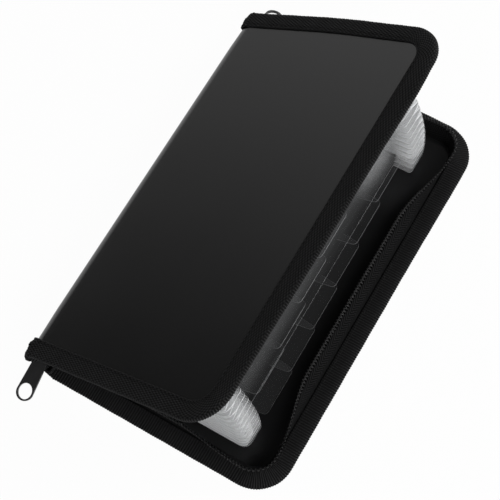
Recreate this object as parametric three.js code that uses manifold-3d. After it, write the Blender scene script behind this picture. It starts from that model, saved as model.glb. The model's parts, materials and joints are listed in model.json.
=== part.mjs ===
// Zip-around expanding file: two bound plastic covers joined by a flexible spine, a coil zip on both
// covers and a fan of translucent pockets with staggered index tabs. Millimetres, +Z up. It lies on its
// back cover, partly open. X runs from the spine to the fore edge, Y along the spine.
import * as THREE from 'three';
import { mergeVertices } from 'three/addons/utils/BufferGeometryUtils.js';
import Module from 'manifold-3d';

// Covers
const COVER_LENGTH = 190;
const COVER_WIDTH = 112.6;
const CLOSED_THICKNESS = 25;
const OPEN_DEGREES = 30.7;
const CORNER_RADIUS = 16.5;
const PANEL_THICKNESS = 0.9;
const SPINE_BEND_RADIUS = 3.2;
const SPINE_LIP_HEIGHT = 8;
const SPINE_NOTCH_DEPTH = 15;

// Woven edge binding, folded over the cover edges
const BINDING_THICKNESS = 0.7;
const BINDING_OUTER_WIDTH = 8;
const BINDING_INNER_WIDTH = 7.7;
const BINDING_FOLD_BEVEL = 0.5;

// Coil zip: the tape stands up inside the binding and carries the teeth on its free edge
const TAPE_THICKNESS = 0.6;
const ZIP_INSET = 8;
const ZIP_HALF_SPLIT = 1;
const ZIP_TAIL_START = 1.2;
const ZIP_TAIL_HEIGHT = 3.4;
const ZIP_WALL_START = 6.4;
const ZIP_LEAN_START = 62;
const ZIP_FORE_EASE = 0.25;
const BACK_END_LEAN = -3.5;
const BACK_CORNER_LEAN = -2.2;
const BACK_FORE_LEAN = 5.5;
const FRONT_END_LEAN = 1;
const FRONT_CORNER_LEAN = 3.2;
const FRONT_FORE_LEAN = 4.2;
const TEETH_WIDTH = 1.5;
const TEETH_HEIGHT = 2.2;
const TEETH_PITCH = 2;
const TEETH_GAP_WIDTH = 0.7;
const TEETH_GAP_DEPTH = 1.2;

// Zip slider and its pull
const SLIDER_LENGTH = 9;
const SLIDER_HEIGHT = 7.6;
const SLIDER_PLATE = 1.1;
const SLIDER_CHANNEL = 2.4;
const SLIDER_CORNER = 2.2;
const SLIDER_POST_LENGTH = 1.8;
const SLIDER_POST_HEIGHT = 1.3;
const SLIDER_CENTRE_X = 0.6;
const CROWN_X = -3.2;
const CROWN_REACH = 1.6;
const CROWN_OUTER_RADIUS = 1.5;
const CROWN_WIDTH = 1.4;
const PULL_BAR = 1;
const PULL_BAR_CLEARANCE = 0.35;
const PULL_THICKNESS = 1.1;
const PULL_NECK_WIDTH = 6.2;
const PULL_RING_WIDTH = 7.8;
const PULL_RING_WALL = 0.7;
const PULL_HOLE_STRETCH = 1.12;
const PULL_RING_DISTANCE = 17.3;
const PULL_WINDOW_LENGTH = 1.8;
const PULL_WINDOW_WIDTH = 2.8;
const LOW_PULL_DROOP = 18;
const HIGH_PULL_DROOP = 27;

// Pocket insert: two leaves fixed to the covers, dividers between them, folded gussets at both ends
const DIVIDER_COUNT = 12;
const TAB_COLUMNS = 6;
const FAN_SHARE = 0.0577;
const SHEET_THICKNESS = 0.4;
const SHEET_ROOT_GAP = 2;
const INSERT_END_GAP = 5.7;
const INSERT_FORE_GAP = 5.9;
const EAR_LOW = 12.7;
const EAR_HIGH = 15.2;
const EAR_CORNER = 4.5;
const TAB_HEIGHT = 9;
const TAB_OVERLAP = 3;
const TAB_SLANT = 1.1;
const TAB_CORNER = 2;
const TAB_ROW_LOW_GAP = 3.4;
const TAB_ROW_HIGH_GAP = 11;
const GUSSET_THICKNESS = 0.25;
const GUSSET_HALF_WIDTH = 11;
const POCKET_BASE = 0.5;

// Running gaps between neighbouring pieces
const FIT = 0.1;
const GUSSET_FIT = 0.15;

// Facets of a round stretch
const ARC_STEPS = 8;
const SMALL_ARC_STEPS = 4;
const FORE_STEPS = 14;
const END_STEPS = 4;
const HOLE_STEPS = 24;
const GUSSET_STEPS = 3;
const SAME_POINT = 1e-5;
const CUT_MARGIN = 1;

const OPEN_ANGLE = THREE.MathUtils.degToRad(OPEN_DEGREES);
const HALF_LENGTH = COVER_LENGTH / 2;
const MID_HEIGHT = CLOSED_THICKNESS / 2;
const HINGE_X = PANEL_THICKNESS / 2;
const EDGE_ALLOWANCE = BINDING_THICKNESS + FIT;
const TAPE_BASE = PANEL_THICKNESS + FIT;
const BINDING_INNER_FACE = TAPE_BASE + TAPE_THICKNESS + FIT;
const TEETH_TOP = MID_HEIGHT - ZIP_HALF_SPLIT;
const TAPE_TOP = TEETH_TOP - TEETH_HEIGHT - FIT;
const ZIP_PLANE = HALF_LENGTH - ZIP_INSET - TAPE_THICKNESS / 2;
const SHEET_START_HEIGHT = PANEL_THICKNESS + FIT;
const SHEET_PITCH = (CLOSED_THICKNESS - 2 * SHEET_START_HEIGHT - SHEET_THICKNESS) / (DIVIDER_COUNT + 1);
const SPINE_HALF_LENGTH = HALF_LENGTH - SPINE_NOTCH_DEPTH;
const SHEET_ROOT = SPINE_BEND_RADIUS + SHEET_ROOT_GAP;
const SHEET_LENGTH = COVER_LENGTH - 2 * (ZIP_INSET + TAPE_THICKNESS + INSERT_END_GAP);
const SHEET_REACH = COVER_WIDTH - ZIP_INSET - TAPE_THICKNESS - BACK_FORE_LEAN - INSERT_FORE_GAP;
const TAB_ROW_LENGTH = SHEET_LENGTH - EAR_LOW - EAR_HIGH - TAB_ROW_LOW_GAP - TAB_ROW_HIGH_GAP;
const TAB_PITCH = TAB_ROW_LENGTH / TAB_COLUMNS;

const wasm = await Module();
wasm.setup();

// Solids

function toManifold(geometry) {
  const bare = geometry.clone();
  bare.deleteAttribute('normal');
  bare.deleteAttribute('uv');
  const merged = mergeVertices(bare, SAME_POINT);
  const corners = [];
  for (let i = 0; i < merged.index.count; i += 3) {
    const [a, b, c] = merged.index.array.slice(i, i + 3);
    if (a !== b && b !== c && c !== a) corners.push(a, b, c);
  }
  return new wasm.Manifold(new wasm.Mesh({
    numProp: 3,
    vertProperties: new Float32Array(merged.attributes.position.array),
    triVerts: new Uint32Array(corners),
  }));
}

function toGeometry(solid) {
  const mesh = solid.getMesh();
  const geometry = new THREE.BufferGeometry();
  geometry.setAttribute('position', new THREE.BufferAttribute(new Float32Array(mesh.vertProperties), 3));
  geometry.setIndex(new THREE.BufferAttribute(new Uint32Array(mesh.triVerts), 1));
  return geometry;
}

function union(geometries) {
  const solids = geometries.map(toManifold);
  return toGeometry(solids.reduce((sum, solid) => sum.add(solid)));
}

function intersection(first, second) {
  return toGeometry(toManifold(first).intersect(toManifold(second)));
}

function difference(body, tool) {
  return toGeometry(toManifold(body).subtract(toManifold(tool)));
}

function box(low, high) {
  const size = high.map((value, axis) => value - low[axis]);
  const geometry = new THREE.BoxGeometry(...size);
  return geometry.translate(...low.map((value, axis) => value + size[axis] / 2));
}

// A flat outline in X and Y, raised from one height to another
function plate(shape, bottom, top, curveSegments = ARC_STEPS) {
  const geometry = new THREE.ExtrudeGeometry(shape, {
    depth: top - bottom,
    bevelEnabled: false,
    curveSegments,
  });
  return geometry.translate(0, 0, bottom);
}

// An outline in X and Z, drawn out along Y between two places
function bar(shape, from, to, curveSegments = ARC_STEPS) {
  const geometry = new THREE.ExtrudeGeometry(shape, {
    depth: to - from,
    bevelEnabled: false,
    curveSegments,
  });
  geometry.rotateX(Math.PI / 2);
  return geometry.translate(0, to, 0);
}

function signedVolume(positions, index) {
  const corner = (i) => new THREE.Vector3().fromArray(positions, 3 * index[i]);
  let volume = 0;
  for (let i = 0; i < index.length; i += 3) {
    volume += corner(i).dot(corner(i + 1).cross(corner(i + 2))) / 6;
  }
  return volume;
}

// A closed skin through rings of matching points, with the two end rings capped by their flat outline.
// Each four-sided patch is split along its shorter diagonal, so both faces of a twisted wall bow alike.
function loft(rings, outline) {
  const count = outline.length;
  const points = rings.flat();
  const positions = points.flatMap((point) => point.toArray());
  const index = [];
  for (let ring = 0; ring + 1 < rings.length; ring += 1) {
    for (let i = 0; i < count; i += 1) {
      const a = ring * count + i;
      const b = ring * count + (i + 1) % count;
      const c = b + count;
      const d = a + count;
      const alongFirst = points[a].distanceTo(points[c]) <= points[b].distanceTo(points[d]);
      index.push(...(alongFirst ? [a, b, c, a, c, d] : [a, b, d, b, c, d]));
    }
  }
  const last = (rings.length - 1) * count;
  for (const [a, b, c] of THREE.ShapeUtils.triangulateShape(outline, [])) {
    index.push(a, c, b, last + a, last + b, last + c);
  }
  if (signedVolume(positions, index) < 0) index.reverse();
  const geometry = new THREE.BufferGeometry();
  geometry.setAttribute('position', new THREE.Float32BufferAttribute(positions, 3));
  geometry.setIndex(index);
  return geometry;
}

// Cover edge: stations from the spine end at -Y round the fore edge to the spine end at +Y. Each has the
// place of the outer edge, the direction into the panel, the direction through the panel to the inside,
// and how far along the fore edge it lies, from 0 to 1, or null elsewhere.

function station(x, y, z, inward, through, fore = null, corner = 0) {
  return {
    edge: new THREE.Vector3(x, y, z),
    inward: new THREE.Vector3(...inward),
    through: new THREE.Vector3(...through),
    fore,
    corner,
  };
}

function bendStations(side) {
  const stations = [];
  for (let step = 0; step < ARC_STEPS; step += 1) {
    const angle = (step / ARC_STEPS) * Math.PI / 2;
    const x = SPINE_BEND_RADIUS * (1 - Math.cos(angle));
    const z = SPINE_BEND_RADIUS * (1 - Math.sin(angle));
    stations.push(station(x, side * HALF_LENGTH, z, [0, -side, 0], [Math.cos(angle), 0, Math.sin(angle)]));
  }
  return stations;
}

function flatStation(side, x) {
  return station(x, side * HALF_LENGTH, 0, [0, -side, 0], [0, 0, 1]);
}

function cornerStation(side, share) {
  const angle = share * Math.PI / 2;
  const x = COVER_WIDTH - CORNER_RADIUS * (1 - Math.sin(angle));
  const y = side * (HALF_LENGTH - CORNER_RADIUS * (1 - Math.cos(angle)));
  const inward = [-Math.sin(angle), -side * Math.cos(angle), 0];
  return station(x, y, 0, inward, [0, 0, 1], null, share);
}

function foreStation(share) {
  const y = (HALF_LENGTH - CORNER_RADIUS) * (2 * share - 1);
  return station(COVER_WIDTH, y, 0, [-1, 0, 0], [0, 0, 1], share, 1);
}

function cornerStations(side) {
  return Array.from({ length: ARC_STEPS + 1 }, (_, step) => cornerStation(side, step / ARC_STEPS));
}

function foreStations() {
  return Array.from({ length: FORE_STEPS - 1 }, (_, step) => foreStation((step + 1) / FORE_STEPS));
}

// Places along the end of the cover over which the zip takes up its lean
function leanStations(side) {
  const end = COVER_WIDTH - CORNER_RADIUS;
  return Array.from({ length: END_STEPS }, (_, step) => (
    flatStation(side, THREE.MathUtils.lerp(ZIP_LEAN_START, end, step / END_STEPS))));
}

function edgeStations(startX, aroundBend, withLean) {
  const half = (side) => [
    ...(aroundBend ? bendStations(side) : []),
    flatStation(side, startX),
    ...(withLean ? leanStations(side) : []),
    ...cornerStations(side),
  ];
  return [...half(-1), ...(withLean ? foreStations() : []), ...half(1).reverse()];
}

// Sweeps sections of [distance into the panel, distance through it] points along the cover edge, taken
// in turn from station to station
function sweepEdge(stations, sections, lean = () => 0) {
  const ring = (place, number) => sections[number % sections.length]
    .map(([inward, through]) => place.edge.clone()
      .addScaledVector(place.inward, inward + lean(place, through))
      .addScaledVector(place.through, through));
  const outline = sections[0].map(([inward, through]) => new THREE.Vector2(inward, through));
  return loft(stations.map(ring), outline);
}

// Covers and spine

function coverOutline() {
  const edge = EDGE_ALLOWANCE;
  const right = COVER_WIDTH - edge;
  const half = HALF_LENGTH - edge;
  const radius = CORNER_RADIUS - edge;
  const shape = new THREE.Shape();
  shape.moveTo(-CUT_MARGIN, -half);
  shape.lineTo(right - radius, -half);
  shape.absarc(right - radius, -half + radius, radius, -Math.PI / 2, 0, false);
  shape.lineTo(right, half - radius);
  shape.absarc(right - radius, half - radius, radius, 0, Math.PI / 2, false);
  shape.lineTo(-CUT_MARGIN, half);
  return shape;
}

// One sheet seen along the spine: flat panel, round bend and the short lip that the spine joins
function coverProfile() {
  const t = PANEL_THICKNESS;
  const r = SPINE_BEND_RADIUS;
  const shape = new THREE.Shape();
  shape.moveTo(COVER_WIDTH, 0);
  shape.lineTo(COVER_WIDTH, t);
  shape.lineTo(r, t);
  shape.absarc(r, r, r - t, -Math.PI / 2, -Math.PI, true);
  shape.lineTo(t, SPINE_LIP_HEIGHT);
  shape.lineTo(0, SPINE_LIP_HEIGHT);
  shape.lineTo(0, r);
  shape.absarc(r, r, r, Math.PI, 1.5 * Math.PI, false);
  return shape;
}

// The lip is cut back at both ends, where the zip runs out
function coverPanel() {
  const top = SPINE_LIP_HEIGHT + CUT_MARGIN;
  const outline = plate(coverOutline(), -CUT_MARGIN, top);
  const bent = intersection(bar(coverProfile(), -HALF_LENGTH, HALF_LENGTH), outline);
  const depth = SPINE_BEND_RADIUS - CUT_MARGIN;
  const lowNotch = box([-CUT_MARGIN, -HALF_LENGTH, SPINE_BEND_RADIUS], [depth, -SPINE_HALF_LENGTH, top]);
  const highNotch = box([-CUT_MARGIN, SPINE_HALF_LENGTH, SPINE_BEND_RADIUS], [depth, HALF_LENGTH, top]);
  return difference(difference(bent, lowNotch), highNotch);
}

// The spine bends on an arc that leaves both lips straight on
function spineStrip() {
  const half = MID_HEIGHT - SPINE_LIP_HEIGHT;
  const radius = half / Math.tan(OPEN_ANGLE / 2);
  const centre = [HINGE_X - radius, SPINE_LIP_HEIGHT];
  const margin = 2 * FIT / radius;
  const shape = new THREE.Shape();
  shape.absarc(...centre, radius + HINGE_X, margin, OPEN_ANGLE - margin, false);
  shape.absarc(...centre, radius - HINGE_X, OPEN_ANGLE - margin, margin, true);
  return bar(shape, -SPINE_HALF_LENGTH, SPINE_HALF_LENGTH);
}

// Binding: a folded channel over the edge, with bevelled folds
function bindingSection() {
  const t = BINDING_THICKNESS;
  const v = BINDING_FOLD_BEVEL;
  const low = -FIT - t;
  const high = BINDING_INNER_FACE + t;
  return [
    [v, low], [BINDING_OUTER_WIDTH, low], [BINDING_OUTER_WIDTH, -FIT], [t, -FIT],
    [t, BINDING_INNER_FACE], [BINDING_INNER_WIDTH, BINDING_INNER_FACE], [BINDING_INNER_WIDTH, high],
    [v, high], [0, high - v], [0, low + v],
  ];
}

function binding() {
  return sweepEdge(edgeStations(SPINE_BEND_RADIUS, true, false), [bindingSection()]);
}

// Zip: the free edge leans out or in by its own amount at the ends, the corners and along the fore edge

const BACK_LEAN = { end: BACK_END_LEAN, corner: BACK_CORNER_LEAN, fore: BACK_FORE_LEAN };
const FRONT_LEAN = { end: FRONT_END_LEAN, corner: FRONT_CORNER_LEAN, fore: FRONT_FORE_LEAN };

function zipLean(amounts) {
  return (place, through) => {
    const { lerp, smoothstep } = THREE.MathUtils;
    const rise = Math.max(0, through - BINDING_INNER_FACE) / (TEETH_TOP - BINDING_INNER_FACE);
    const end = amounts.end * smoothstep(place.edge.x, ZIP_LEAN_START, COVER_WIDTH - CORNER_RADIUS);
    const ease = place.fore === null ? 0 : smoothstep(Math.min(place.fore, 1 - place.fore), 0, ZIP_FORE_EASE);
    return rise * rise * lerp(lerp(end, amounts.corner, place.corner), amounts.fore, ease);
  };
}

function zipTape(amounts) {
  const t = TAPE_THICKNESS;
  const root = EDGE_ALLOWANCE + FIT;
  const middle = (TAPE_BASE + TAPE_TOP) / 2;
  const section = [
    [root, TAPE_BASE], [ZIP_INSET + t, TAPE_BASE], [ZIP_INSET + t, middle], [ZIP_INSET + t, TAPE_TOP],
    [ZIP_INSET, TAPE_TOP], [ZIP_INSET, middle], [ZIP_INSET, TAPE_BASE + t], [root, TAPE_BASE + t],
  ];
  const wall = sweepEdge(edgeStations(ZIP_WALL_START, false, true), [section], zipLean(amounts));
  const tail = (side) => {
    const inner = HALF_LENGTH - ZIP_INSET - t;
    const low = [ZIP_TAIL_START, Math.min(side * inner, side * (inner + t)), TAPE_TOP - ZIP_TAIL_HEIGHT];
    return box(low, [ZIP_WALL_START + t, low[1] + t, TAPE_TOP]);
  };
  return union([wall, tail(-1), tail(1)]);
}

// Stations a half pitch apart along the line of the teeth, over the straight, the corner and the fore edge
function toothStations() {
  const straight = COVER_WIDTH - CORNER_RADIUS - ZIP_TAIL_START;
  const arc = (CORNER_RADIUS - ZIP_INSET - TAPE_THICKNESS / 2) * Math.PI / 2;
  const fore = COVER_LENGTH - 2 * CORNER_RADIUS;
  const total = 2 * (straight + arc) + fore;
  const count = 2 * Math.round(total / TEETH_PITCH);
  return Array.from({ length: count + 1 }, (_, step) => {
    const side = step <= count / 2 ? -1 : 1;
    const along = total * Math.min(step, count - step) / count;
    if (along <= straight) return flatStation(side, ZIP_TAIL_START + along);
    if (along <= straight + arc) return cornerStation(side, (along - straight) / arc);
    const share = (along - straight - arc) / fore;
    return foreStation(side < 0 ? share : 1 - share);
  });
}

// Teeth: one unbroken row that swells to a tooth and draws in to the gap beside it at each pitch
function zipTeeth(amounts) {
  const middle = ZIP_INSET + TAPE_THICKNESS / 2;
  const bottom = TEETH_TOP - TEETH_HEIGHT;
  const section = (width, top) => [
    [middle - width / 2, bottom], [middle + width / 2, bottom],
    [middle + width / 2, top], [middle - width / 2, top],
  ];
  const gap = section(TEETH_GAP_WIDTH, TEETH_TOP - TEETH_GAP_DEPTH);
  return sweepEdge(toothStations(), [gap, section(TEETH_WIDTH, TEETH_TOP)], zipLean(amounts));
}

// Slider: two rounded plates either side of the tape, the post that parts the teeth, and the crown
// that holds the pull. Drawn at the -Y end, with the pull's bar along X.

function roundedPlate(width, height, radius) {
  const shape = new THREE.Shape();
  const x = width / 2;
  const z = height / 2;
  shape.absarc(x - radius, z - radius, radius, 0, Math.PI / 2, false);
  shape.absarc(-x + radius, z - radius, radius, Math.PI / 2, Math.PI, false);
  shape.absarc(-x + radius, -z + radius, radius, Math.PI, 1.5 * Math.PI, false);
  shape.absarc(x - radius, -z + radius, radius, 1.5 * Math.PI, 2 * Math.PI, false);
  return shape;
}

const CROWN_Y = -(ZIP_PLANE + SLIDER_CHANNEL / 2 + SLIDER_PLATE + CROWN_REACH);

function slider() {
  const face = roundedPlate(SLIDER_LENGTH, SLIDER_HEIGHT, SLIDER_CORNER);
  const half = SLIDER_CHANNEL / 2;
  const place = (geometry) => geometry.translate(SLIDER_CENTRE_X, 0, MID_HEIGHT);
  const outer = place(bar(face, -ZIP_PLANE - half - SLIDER_PLATE, -ZIP_PLANE - half, SMALL_ARC_STEPS));
  const inner = place(bar(face, -ZIP_PLANE + half, -ZIP_PLANE + half + SLIDER_PLATE, SMALL_ARC_STEPS));
  const postEnd = SLIDER_CENTRE_X + SLIDER_LENGTH / 2 - SLIDER_PLATE / 2;
  const postReach = half + SLIDER_PLATE / 2;
  const post = box(
    [postEnd - SLIDER_POST_LENGTH, -ZIP_PLANE - postReach, MID_HEIGHT - SLIDER_POST_HEIGHT / 2],
    [postEnd, -ZIP_PLANE + postReach, MID_HEIGHT + SLIDER_POST_HEIGHT / 2],
  );
  const crownCentre = [SLIDER_CENTRE_X + CROWN_X, CROWN_Y, MID_HEIGHT];
  const lug = new THREE.CylinderGeometry(CROWN_OUTER_RADIUS, CROWN_OUTER_RADIUS, CROWN_WIDTH, HOLE_STEPS);
  lug.rotateZ(Math.PI / 2).translate(...crownCentre);
  const footEnd = CROWN_Y + CROWN_REACH + SLIDER_PLATE / 2;
  const foot = box(
    [crownCentre[0] - CROWN_WIDTH / 2, CROWN_Y, MID_HEIGHT - CROWN_OUTER_RADIUS],
    [crownCentre[0] + CROWN_WIDTH / 2, footEnd, MID_HEIGHT + CROWN_OUTER_RADIUS],
  );
  const holeRadius = PULL_BAR / 2 + PULL_BAR_CLEARANCE;
  const hole = new THREE.CylinderGeometry(holeRadius, holeRadius, 2 * CROWN_WIDTH, HOLE_STEPS);
  hole.rotateZ(Math.PI / 2).translate(...crownCentre);
  return difference(union([outer, inner, post, lug, foot]), hole);
}

// Pull: a flat plate that widens into a thin ring, with a window that leaves a bar in the crown, hanging
// from that bar by so many degrees below level
function pull(droop) {
  const ring = PULL_RING_WIDTH / 2;
  const neck = PULL_NECK_WIDTH / 2;
  const end = PULL_BAR / 2;
  const tangent = Math.asin((ring - neck) / PULL_RING_DISTANCE);
  const shape = new THREE.Shape();
  shape.moveTo(neck, end);
  shape.lineTo(-neck, end);
  shape.absarc(0, -PULL_RING_DISTANCE, ring, Math.PI - tangent, 2 * Math.PI + tangent, false);
  const hole = new THREE.Path();
  const holeWidth = ring - PULL_RING_WALL;
  const holeLength = holeWidth * PULL_HOLE_STRETCH;
  const holeCentre = -PULL_RING_DISTANCE - (ring - PULL_RING_WALL) + holeLength;
  hole.absellipse(0, holeCentre, holeWidth, holeLength, 0, 2 * Math.PI, true);
  const slot = new THREE.Path();
  const slotHalf = PULL_WINDOW_WIDTH / 2;
  slot.moveTo(-slotHalf, -end);
  slot.lineTo(slotHalf, -end);
  slot.lineTo(slotHalf, -end - PULL_WINDOW_LENGTH);
  slot.lineTo(-slotHalf, -end - PULL_WINDOW_LENGTH);
  shape.holes.push(hole, slot);
  const flat = plate(shape, -PULL_THICKNESS / 2, PULL_THICKNESS / 2, HOLE_STEPS);
  flat.rotateX(THREE.MathUtils.degToRad(droop));
  return flat.translate(SLIDER_CENTRE_X + CROWN_X, CROWN_Y, MID_HEIGHT);
}

// Pocket insert

function sheetHeight(number) {
  return SHEET_START_HEIGHT + number * SHEET_PITCH;
}

function sheetAngle(number) {
  return number > DIVIDER_COUNT ? OPEN_ANGLE : number * FAN_SHARE * OPEN_ANGLE;
}

// Tabs step along the row from the -Y end, in two rows of columns, each over the edge of the one below
function tabStart(number) {
  const column = (number - 1) % TAB_COLUMNS;
  return -SHEET_LENGTH / 2 + EAR_LOW + TAB_ROW_LOW_GAP + column * TAB_PITCH;
}

function roundCorner(shape, from, corner, to, radius) {
  const tip = new THREE.Vector2(...corner);
  const towards = (end) => new THREE.Vector2(...end).sub(tip).setLength(radius).add(tip);
  const start = towards(from);
  const finish = towards(to);
  shape.lineTo(start.x, start.y);
  shape.quadraticCurveTo(tip.x, tip.y, finish.x, finish.y);
}

// Outline of a sheet: full reach at the two ears, cut back between them, with one index tab
function sheetOutline(number) {
  const half = SHEET_LENGTH / 2;
  const top = SHEET_REACH;
  const cut = SHEET_REACH - TAB_HEIGHT;
  const hasTab = number >= 1 && number <= DIVIDER_COUNT;
  const corners = [
    [[SHEET_ROOT, -half], 0],
    [[top, -half], EAR_CORNER],
    [[top, -half + EAR_LOW], TAB_CORNER],
    [[cut, -half + EAR_LOW], 0],
  ];
  if (hasTab) {
    const low = tabStart(number);
    const high = low + TAB_PITCH + TAB_OVERLAP;
    corners.push(
      [[cut, low - TAB_SLANT], 0],
      [[top, low], TAB_CORNER],
      [[top, high], TAB_CORNER],
      [[cut, high + TAB_SLANT], 0],
    );
  }
  corners.push(
    [[cut, half - EAR_HIGH], 0],
    [[top, half - EAR_HIGH], TAB_CORNER],
    [[top, half], EAR_CORNER],
    [[SHEET_ROOT, half], 0],
  );
  const shape = new THREE.Shape();
  shape.moveTo(...corners[0][0]);
  for (let i = 1; i < corners.length; i += 1) {
    const [corner, radius] = corners[i];
    const next = corners[(i + 1) % corners.length][0];
    if (radius > 0) roundCorner(shape, corners[i - 1][0], corner, next, radius);
    else shape.lineTo(...corner);
  }
  return shape;
}

function sheet(number) {
  const bottom = sheetHeight(number);
  return plate(sheetOutline(number), bottom, bottom + SHEET_THICKNESS, SMALL_ARC_STEPS);
}

// A place on a sheet of the fan, turned about the spine's middle
function fanPoint(x, height, angle) {
  const dx = x - HINGE_X;
  const dz = height - MID_HEIGHT;
  return new THREE.Vector3(
    HINGE_X + dx * Math.cos(angle) - dz * Math.sin(angle),
    0,
    MID_HEIGHT + dx * Math.sin(angle) + dz * Math.cos(angle),
  );
}

// A strip of even width folded once inwards, as [depth, share of the pocket's height] points: the wider
// the pocket stands, the less deep the fold
function foldSection(rise) {
  const depth = Math.sqrt(GUSSET_HALF_WIDTH ** 2 - (rise / 2) ** 2);
  const wall = GUSSET_THICKNESS * GUSSET_HALF_WIDTH / (depth * rise);
  const innerDepth = depth * (1 - 2 * wall);
  return [[0, 0], [depth, 0.5], [0, 1], [0, 1 - wall], [innerDepth, 0.5], [0, wall]];
}

// Gusset of one pocket: a folded strip at both ends, joined by the pocket's base at the spine
function gusset(number) {
  const floor = sheetHeight(number - 1) + SHEET_THICKNESS + GUSSET_FIT;
  const ceiling = sheetHeight(number) - GUSSET_FIT;
  const lower = (x) => fanPoint(x, floor, sheetAngle(number - 1));
  const upper = (x) => fanPoint(x, ceiling, sheetAngle(number));
  const end = SHEET_LENGTH / 2;
  const reach = SHEET_REACH - EAR_CORNER;
  const baseEnd = SHEET_ROOT + POCKET_BASE;
  const fold = (x, side) => {
    const low = lower(x);
    const rise = upper(x).sub(low);
    return foldSection(rise.length()).map(([depth, share]) => low.clone()
      .addScaledVector(rise, share)
      .setY(side * (end - depth)));
  };
  const rootRise = lower(SHEET_ROOT).distanceTo(upper(SHEET_ROOT));
  const outline = foldSection(rootRise).map(([depth, share]) => new THREE.Vector2(depth, share));
  const places = Array.from({ length: GUSSET_STEPS + 1 }, (_, step) => (
    THREE.MathUtils.lerp(SHEET_ROOT, reach, step / GUSSET_STEPS)));
  const side = (sign) => loft(places.map((x) => fold(x, sign)), outline);
  const base = [lower(SHEET_ROOT), lower(baseEnd), upper(baseEnd), upper(SHEET_ROOT)];
  const baseRing = (y) => base.map((point) => point.clone().setY(y));
  const baseOutline = [[0, 0], [1, 0], [1, 1], [0, 1]].map(([x, y]) => new THREE.Vector2(x, y));
  return union([side(-1), side(1), loft([baseRing(-end), baseRing(end)], baseOutline)]);
}

// Assembly

function material(color, roughness, metalness = 0, opacity = 1) {
  return new THREE.MeshStandardMaterial({ color, roughness, metalness, opacity, transparent: opacity < 1 });
}

const coverPlastic = () => material(0x161617, 0.42);
const wovenTape = () => material(0x121213, 0.9);
const coilNylon = () => material(0x2a2a2c, 0.4);
const blackMetal = () => material(0x1b1b1d, 0.45, 0.6);
const frostedPlastic = () => material(0xe8eaec, 0.35, 0, 0.55);

function named(name, geometry, finish) {
  const mesh = new THREE.Mesh(toGeometry(toManifold(geometry)), finish);
  mesh.name = name;
  return mesh;
}

function mirrored(geometry, axis, about) {
  const scale = new THREE.Vector3(1, 1, 1);
  const offset = new THREE.Vector3();
  scale[axis] = -1;
  offset[axis] = 2 * about;
  const copy = toGeometry(toManifold(geometry));
  copy.applyMatrix4(new THREE.Matrix4().makeTranslation(offset).scale(scale));
  copy.index.array.reverse();
  return copy;
}

// Everything that turns with one angle of the fan about the middle of the spine
function turned(angle, meshes) {
  const content = new THREE.Group();
  content.position.set(-HINGE_X, 0, -MID_HEIGHT);
  content.add(...meshes);
  const pivot = new THREE.Group();
  pivot.position.set(HINGE_X, 0, MID_HEIGHT);
  pivot.rotation.y = -angle;
  pivot.add(content);
  return pivot;
}

function half(prefix, lean, place) {
  return [
    named(`${prefix}_cover`, place(coverPanel()), coverPlastic()),
    named(`${prefix}_binding`, place(binding()), wovenTape()),
    named(`${prefix}_zip_tape`, place(zipTape(lean)), wovenTape()),
    named(`${prefix}_zip_teeth`, place(zipTeeth(lean)), coilNylon()),
  ];
}

function zipEnd(prefix, droop, place) {
  return [
    named(`${prefix}_slider`, place(slider()), blackMetal()),
    named(`${prefix}_pull`, place(pull(droop)), blackMetal()),
  ];
}

const twoDigits = (number) => String(number).padStart(2, '0');
const model = new THREE.Group();
model.add(...half('back', BACK_LEAN, (geometry) => geometry));
const mirrorHalf = (geometry) => mirrored(geometry, 'z', MID_HEIGHT);
model.add(turned(OPEN_ANGLE, half('front', FRONT_LEAN, mirrorHalf)));
model.add(named('spine_strip', spineStrip(), coverPlastic()));
model.add(...zipEnd('low', LOW_PULL_DROOP, (geometry) => geometry));
model.add(...zipEnd('high', HIGH_PULL_DROOP, (geometry) => mirrored(geometry, 'y', 0)));
for (let number = 0; number <= DIVIDER_COUNT + 1; number += 1) {
  const ends = { 0: 'back_leaf', [DIVIDER_COUNT + 1]: 'front_leaf' };
  const name = ends[number] ?? `divider_${twoDigits(number)}`;
  model.add(turned(sheetAngle(number), [named(name, sheet(number), frostedPlastic())]));
}
for (let number = 1; number <= DIVIDER_COUNT + 1; number += 1) {
  model.add(named(`gusset_${twoDigits(number)}`, gusset(number), frostedPlastic()));
}

// The origin is the middle of the footprint, on the surface that the part lies on
const bounds = new THREE.Box3().setFromObject(model, true);
const middle = bounds.getCenter(new THREE.Vector3());
model.position.set(-middle.x, -middle.y, -bounds.min.z);
const part = new THREE.Group();
part.name = 'zip_expanding_file';
part.add(model);

export default part;
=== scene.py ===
import json
import math

import bmesh
import bpy
import numpy as np
from mathutils import Matrix, Vector

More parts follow.
